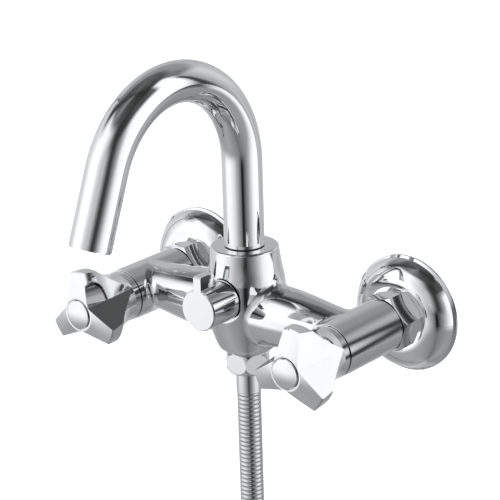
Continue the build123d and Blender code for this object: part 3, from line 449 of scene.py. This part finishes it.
class FAUCET_OT_finish_insides(bpy.types.Operator):
    """Finish the brass, ceramic, steel and rubber pieces inside the mixer"""
    bl_idname = "faucet.finish_insides"
    bl_label = "Finish Insides"

    def execute(self, context):
        brass = turned_metal("machined brass", (0.72, 0.54, 0.24), 0.22)
        dress(both("valve_headwork", "valve_spindle")
              + ["diverter_cage", "diverter_rotor", "spout_spigot"], brass)
        dress(both("handle_screw") + ["diverter_grub_screw", "spout_keeper_screw", "bracket_screws"],
              turned_metal("turned steel", (0.56, 0.56, 0.57), 0.26))
        dress(both("fixed_disc", "moving_disc"), moulded("lapped ceramic", (0.86, 0.84, 0.80), 0.18, 3000.0))
        dress(both("inlet_washer", "seat_seal", "headwork_o_ring", "spindle_o_ring")
              + ["diverter_cage_o_ring", "diverter_spindle_o_ring", "spout_o_rings", "hose_washer",
                 "handset_washer", "aerator_washer"],
              moulded("moulded rubber", (0.022, 0.022, 0.024), 0.55, 1400.0, 0.00004))
        dress(["spout_slip_ring"], moulded("slip ring plastic", (0.03, 0.03, 0.033), 0.4))
        dress(["aerator_screen", "wall_plugs"], moulded("white plastic", (0.78, 0.78, 0.77), 0.4))
        return {"FINISHED"}


# ---- the hose -----------------------------------------------------------------------------------------
def route_points(step):
    """Evenly spaced points of the hose's smooth line."""
    data = bpy.data.curves.new("hose line", "CURVE")
    data.dimensions = "3D"
    data.resolution_u = 48
    spline = data.splines.new("NURBS")
    spline.points.add(len(HOSE_ROUTE) - 1)
    for knot, place in zip(spline.points, HOSE_ROUTE):
        knot.co = (*place, 1)
    spline.order_u = 3
    spline.use_endpoint_u = True
    line = bpy.data.objects.new("hose line", data)
    bpy.context.scene.collection.objects.link(line)
    bpy.context.view_layer.update()
    mesh = bpy.data.meshes.new_from_object(line)
    raw = [vertex.co.copy() for vertex in mesh.vertices]
    bpy.data.objects.remove(line)
    bpy.data.curves.remove(data)
    bpy.data.meshes.remove(mesh)
    reach = [0.0]
    for before, here in zip(raw, raw[1:]):
        reach.append(reach[-1] + (here - before).length)
    count = round(reach[-1] / step)
    points = []
    stretch = 0
    for index in range(count + 1):
        want = reach[-1] * index / count
        while stretch < len(raw) - 2 and reach[stretch + 1] < want:
            stretch += 1
        share = (want - reach[stretch]) / (reach[stretch + 1] - reach[stretch])
        points.append(raw[stretch].lerp(raw[stretch + 1], share))
    return points


def carried_frames(points):
    """Across directions at each point, carried along the line without twist."""
    ways = [(after - before).normalized() for before, after in zip(points, points[1:])]
    ways.append(ways[-1])
    side = ways[0].orthogonal().normalized()
    frames = []
    for way in ways:
        side = (side - way * side.dot(way)).normalized()
        frames.append((side, way.cross(side)))
    return frames


class FAUCET_OT_wind_hose(bpy.types.Operator):
    """Wind the ribbed steel hose along its route from the mixer's outlet to the hand shower"""
    bl_idname = "faucet.wind_hose"
    bl_label = "Wind Hose"

    def execute(self, context):
        hose = context.scene.faucet_hose
        outer = hose.diameter / 2
        inner = outer - hose.groove_depth
        shoulder = outer - RIB_SHOULDER * hose.groove_depth
        rib = (inner, shoulder, outer, outer, shoulder)
        points = route_points(hose.rib_pitch / len(rib))
        frames = carried_frames(points)
        build = bmesh.new()
        rings = []
        for index, (point, (side, over)) in enumerate(zip(points, frames)):
            radius = rib[index % len(rib)]
            ring = []
            for corner in range(hose.sides):
                turn = 2 * math.pi * corner / hose.sides
                ring.append(build.verts.new(point + radius * (math.cos(turn) * side + math.sin(turn) * over)))
            rings.append(ring)
        for before, after in zip(rings, rings[1:]):
            for corner in range(hose.sides):
                following = (corner + 1) % hose.sides
                build.faces.new((before[corner], before[following], after[following], after[corner]))
        build.faces.new(reversed(rings[0]))
        build.faces.new(rings[-1])
        mesh = bpy.data.meshes.new("ribbed_hose")
        build.to_mesh(mesh)
        build.free()
        mesh.shade_smooth()
        piece = bpy.data.objects.new("ribbed_hose", mesh)
        context.scene.collection.objects.link(piece)
        piece.data.materials.append(plated("hose steel", (0.60, 0.61, 0.62), 0.05, 0.08, 0.00003, 160.0))
        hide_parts("shower_hose")
        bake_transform(piece)
        return {"FINISHED"}


# ---- the hand shower ------------------------------------------------------------------------------------
class FAUCET_OT_finish_hand_shower(bpy.types.Operator):
    """Finish the hand shower's plated shell, spray face, nozzles and bracket"""
    bl_idname = "faucet.finish_hand_shower"
    bl_label = "Finish Hand Shower"

    def execute(self, context):
        plating = context.scene.faucet_plating
        shower = context.scene.faucet_hand_shower
        tint = tuple(0.97 * part for part in plating.tint)
        dress(["handset_shell"], plated("hand shower plating", tint, plating.roughness + 0.01, plating.haze,
                                        plating.waviness, 20.0))
        dress(["handset_cone_nut", "lower_hose_ferrule"],
              plated("hose end plating", tint, plating.roughness + NUT_SOFTNESS, NUT_HAZE, plating.waviness,
                     NUT_WAVES))
        dress(["spray_face"], moulded("spray face plastic", tuple(shower.face_colour), 0.42, 2400.0))
        self.set_nozzles(context, shower)
        dress(["face_centre_disc"], moulded("centre disc plastic", (0.43, 0.435, 0.44), 0.28, 2400.0))
        dress(["wall_bracket"], moulded("bracket coating", tuple(shower.bracket_colour), 0.3, 2600.0,
                                        0.000008, metallic=0.55, coat=0.3))
        return {"FINISHED"}

    def set_nozzles(self, context, shower):
        """A soft tapered nozzle with a small outlet over each nozzle's place."""
        islands = loose_parts(node("spray_nozzles").data)
        middles = [sum(places, Vector()) / len(places) for places in islands]
        centre = sum(middles, Vector()) / len(middles)
        spread = max(middles, key=lambda middle: (middle - centre).length) - centre
        cross = max((spread.cross(middle - centre) for middle in middles), key=lambda way: way.length)
        outward = cross.normalized() if cross.y < 0 else -cross.normalized()
        turned = outward.to_track_quat("Z", "Y").to_matrix().to_4x4()
        bpy.ops.object.select_all(action="DESELECT")
        foot = shower.nozzle_width / 2
        bpy.ops.mesh.primitive_cone_add(
            vertices=18, radius1=foot, radius2=NOZZLE_TAPER * foot, depth=NOZZLE_HEIGHT, end_fill_type="NGON",
            location=(0, 0, 0))
        first = context.active_object
        bpy.ops.object.mode_set(mode="EDIT")
        build = bmesh.from_edit_mesh(first.data)
        for face in build.faces:
            face.select_set(face.normal.z > 0.9)
        bmesh.update_edit_mesh(first.data)
        bpy.ops.mesh.inset(thickness=NOZZLE_RIM * foot, depth=0.0002)
        bpy.ops.mesh.inset(thickness=NOZZLE_OUTLET * foot, depth=-0.0007)
        bpy.ops.object.mode_set(mode="OBJECT")
        nozzles = bmesh.new()
        for middle, places in zip(middles, islands):
            crest = max(place.dot(outward) for place in places)
            seat = middle + outward * (crest - middle.dot(outward) - NOZZLE_SUNK)
            copy = first.data.copy()
            copy.transform(Matrix.Translation(seat) @ turned)
            nozzles.from_mesh(copy)
            bpy.data.meshes.remove(copy)
        bpy.data.objects.remove(first)
        mesh = bpy.data.meshes.new("soft_nozzles")
        nozzles.to_mesh(mesh)
        nozzles.free()
        piece = bpy.data.objects.new("soft_nozzles", mesh)
        context.scene.collection.objects.link(piece)
        mesh.materials.append(moulded("nozzle rubber", tuple(shower.nozzle_colour), 0.5, 3000.0))
        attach(piece, HANDSET_BODY)
        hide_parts("spray_nozzles")


# ---- the studio -------------------------------------------------------------------------------------------
class FAUCET_OT_set_studio(bpy.types.Operator):
    """Set the pale floor, the soft light, the surroundings and the camera"""
    bl_idname = "faucet.set_studio"
    bl_label = "Set Studio"

    def execute(self, context):
        studio = context.scene.faucet_studio
        self.lay_floor(context, studio)
        self.hang_light(context)
        self.paint_surroundings(context, studio)
        self.aim_camera(context, studio)
        return {"FINISHED"}

    def lay_floor(self, context, studio):
        """A pale floor under the hose, which the chrome doesn't mirror."""
        bpy.ops.object.select_all(action="DESELECT")
        bpy.ops.mesh.primitive_plane_add(size=14, location=(0, 0, CAD_BOX[0][2] - studio.floor_drop))
        floor = context.active_object
        floor.name = "studio_floor"
        pale = moulded("pale floor", (0.93, 0.93, 0.93), 0.8, 60.0, 0.0002)
        shader = next(item for item in pale.node_tree.nodes if item.type == "BSDF_PRINCIPLED")
        shader.inputs["Emission Color"].default_value = (1, 1, 1, 1)
        shader.inputs["Emission Strength"].default_value = studio.floor_glow
        floor.data.materials.append(pale)
        floor.visible_glossy = False

    def hang_light(self, context):
        """A soft lamp overhead for the plastics, which the chrome doesn't mirror."""
        data = bpy.data.lights.new("overhead softbox", "AREA")
        data.shape = "RECTANGLE"
        data.size = 2.2
        data.size_y = 1.6
        data.energy = 60
        lamp = bpy.data.objects.new("overhead softbox", data)
        lamp.location = (-0.4, -1.0, 2.2)
        aim = Vector((0, 0, 0)) - lamp.location
        lamp.rotation_euler = aim.to_track_quat("-Z", "Y").to_euler()
        lamp.visible_glossy = False
        context.scene.collection.objects.link(lamp)

    def paint_surroundings(self, context, studio):
        """The room that the chrome mirrors, joined from its bands, and a white background to look at."""
        world = bpy.data.worlds.new("studio surroundings")
        world.use_nodes = True
        context.scene.world = world
        tree = world.node_tree
        tree.nodes.clear()
        link = tree.links.new
        place = add(tree, "ShaderNodeTexCoord", (-1400, 0))
        split = add(tree, "ShaderNodeSeparateXYZ", (-1200, 0))
        link(place.outputs["Generated"], split.inputs["Vector"])
        turned_y = add(tree, "ShaderNodeMath", (-1000, -100), operation="MULTIPLY")
        turned_y.inputs[1].default_value = -1.0
        link(split.outputs["Y"], turned_y.inputs[0])
        heading = add(tree, "ShaderNodeMath", (-800, 0), operation="ARCTAN2")
        link(split.outputs["X"], heading.inputs[0])
        link(turned_y.outputs["Value"], heading.inputs[1])
        around = add(tree, "ShaderNodeMapRange", (-600, 0), **{"From Min": -math.pi, "From Max": math.pi})
        link(heading.outputs["Value"], around.inputs["Value"])
        below = self.ramp(tree, (-350, 600), around.outputs["Result"], FLOOR_TONES)
        for row, (low, high), tones in zip((300, 0, -300, -600), BAND_EDGES, BAND_TONES):
            share = add(tree, "ShaderNodeMapRange", (-600, row - 150), interpolation_type="SMOOTHSTEP",
                        **{"From Min": low, "From Max": high})
            link(split.outputs["Z"], share.inputs["Value"])
            band = self.ramp(tree, (-350, row), around.outputs["Result"], tones)
            joined = add(tree, "ShaderNodeMixRGB", (-50, row))
            link(share.outputs["Result"], joined.inputs["Fac"])
            link(below.outputs["Color"], joined.inputs["Color1"])
            link(band.outputs["Color"], joined.inputs["Color2"])
            below = joined
        seen = add(tree, "ShaderNodeLightPath", (0, 300))
        backdrop = add(tree, "ShaderNodeMixRGB", (250, 0))
        backdrop.inputs["Color2"].default_value = (1.05, 1.05, 1.05, 1)
        link(seen.outputs["Is Camera Ray"], backdrop.inputs["Fac"])
        link(below.outputs["Color"], backdrop.inputs["Color1"])
        glow = add(tree, "ShaderNodeBackground", (500, 0), Strength=studio.brightness)
        link(backdrop.outputs["Color"], glow.inputs["Color"])
        out = add(tree, "ShaderNodeOutputWorld", (700, 0))
        link(glow.outputs["Background"], out.inputs["Surface"])

    def ramp(self, tree, at, source, tones):
        """One band of the room, once around."""
        made = add(tree, "ShaderNodeValToRGB", at)
        tree.links.new(source, made.inputs["Fac"])
        stops = made.color_ramp.elements
        while len(stops) > 1:
            stops.remove(stops[-1])
        stops[0].position = 0
        stops[0].color = (light_for(tones[0][1]),) * 3 + (1,)
        for degrees, tone in tones[1:]:
            stop = stops.new((degrees + 180) / 360)
            stop.color = (light_for(tone),) * 3 + (1,)
        return made

    def aim_camera(self, context, studio):
        """A long lens in front on the right, a little above the mixer."""
        turn, lift, roll = studio.azimuth, studio.elevation, studio.roll
        back = Vector((math.sin(turn) * math.cos(lift), -math.cos(turn) * math.cos(lift), math.sin(lift)))
        side = Vector((math.cos(turn), math.sin(turn), 0))
        above = back.cross(side)
        right = math.cos(roll) * side + math.sin(roll) * above
        over = back.cross(right)
        data = bpy.data.cameras.new("studio camera")
        data.lens = studio.lens
        data.sensor_width = SENSOR_WIDTH
        camera = bpy.data.objects.new("studio camera", data)
        context.scene.collection.objects.link(camera)
        aim = (-back + AIM_RIGHT * right + AIM_UP * over).normalized()
        across = aim.cross(over).normalized()
        upright = across.cross(aim)
        turned = Matrix((across, upright, -aim)).transposed().to_4x4()
        camera.matrix_world = Matrix.Translation(MIXER_MIDDLE + studio.distance * back) @ turned
        context.scene.camera = camera
        context.scene.view_settings.view_transform = "Standard"


def light_for(tone):
    """Light that chrome shows as a tone from 0, black, to 255, white."""
    return ((tone / 255 + 0.055) / 1.055) ** 2.4 / 0.8


# Tones of the surroundings once around, by heading to the user's right of straight ahead: a white wall
# in front on the left, a narrow black flag, a second white wall on the right and grey behind.
FLOOR_TONES = (
    (-180, 135), (-135, 185), (-105, 160), (-80, 150), (-30, 160), (22, 131), (38, 112), (60, 132),
    (97, 152), (150, 143), (180, 135),
)
LOW_WALL_TONES = (
    (-180, 182), (-142, 188), (-115, 208), (-75, 200), (-58, 250), (-34, 252), (-7, 218), (8, 175),
    (22, 136), (31, 98), (35.5, 30), (43, 30), (49, 82), (67, 142), (82, 190), (97, 238),
    (112, 255), (137, 252), (139, 60), (141, 60), (143, 160), (155, 190), (168, 170), (180, 182),
)
WALL_TONES = (
    (-180, 190), (-150, 170), (-127, 178), (-105, 202), (-75, 220), (-54, 258), (-20, 262),
    (-5, 224), (10, 195), (25, 185), (38, 120), (48, 58), (58, 62), (70, 118), (82, 170), (95, 246),
    (112, 258), (137, 255), (139, 60), (141, 60), (143, 160), (158, 200), (172, 205), (180, 190),
)
HIGH_WALL_TONES = (
    (-180, 142), (-120, 145), (-97, 125), (-83, 66), (-72, 56), (-64, 190), (-48, 250), (-15, 250),
    (8, 210), (22, 160), (34, 95), (46, 52), (70, 54), (90, 80), (104, 76), (119, 90), (125, 252),
    (138, 250), (145, 110), (160, 118), (180, 142),
)
CEILING_TONES = (
    (-180, 84), (-140, 96), (-90, 76), (-72, 60), (-58, 100), (-25, 132), (0, 105), (22, 78),
    (60, 66), (110, 48), (150, 76), (180, 84),
)
BAND_TONES = (LOW_WALL_TONES, WALL_TONES, HIGH_WALL_TONES, CEILING_TONES)
# Between which heights, as sines, each band takes over from the one below it.
BAND_EDGES = ((-0.54, -0.30), (-0.09, 0.14), (0.44, 0.66), (0.76, 0.88))


class FAUCET_PT_panel(bpy.types.Panel):
    """Finish the faucet piece by piece"""
    bl_label = "Bath Faucet"
    bl_idname = "FAUCET_PT_panel"
    bl_space_type = "VIEW_3D"
    bl_region_type = "UI"
    bl_category = "Bath Faucet"

    def draw(self, context):
        layout = self.layout
        for settings in ("faucet_plating", "faucet_hose", "faucet_hand_shower", "faucet_studio"):
            box = layout.box()
            group = getattr(context.scene, settings)
            for name in group.__annotations__:
                box.prop(group, name)
        for operator in STEPS:
            layout.operator(operator.bl_idname)


STEPS = (FAUCET_OT_plate_mixer, FAUCET_OT_plate_handles, FAUCET_OT_finish_insides, FAUCET_OT_wind_hose,
         FAUCET_OT_finish_hand_shower, FAUCET_OT_set_studio)
SETTINGS = {
    "faucet_plating": PlatingSettings,
    "faucet_hose": HoseSettings,
    "faucet_hand_shower": HandShowerSettings,
    "faucet_studio": StudioSettings,
}


def register():
    for kind in (*SETTINGS.values(), *STEPS, FAUCET_PT_panel):
        bpy.utils.register_class(kind)
    for name, kind in SETTINGS.items():
        setattr(bpy.types.Scene, name, bpy.props.PointerProperty(type=kind))


def unregister():
    for name in SETTINGS:
        delattr(bpy.types.Scene, name)
    for kind in reversed((*SETTINGS.values(), *STEPS, FAUCET_PT_panel)):
        bpy.utils.unregister_class(kind)


def main():
    register()
    for step in STEPS:
        area, name = step.bl_idname.split(".")
        getattr(getattr(bpy.ops, area), name)()


if __name__ == "__main__":
    main()
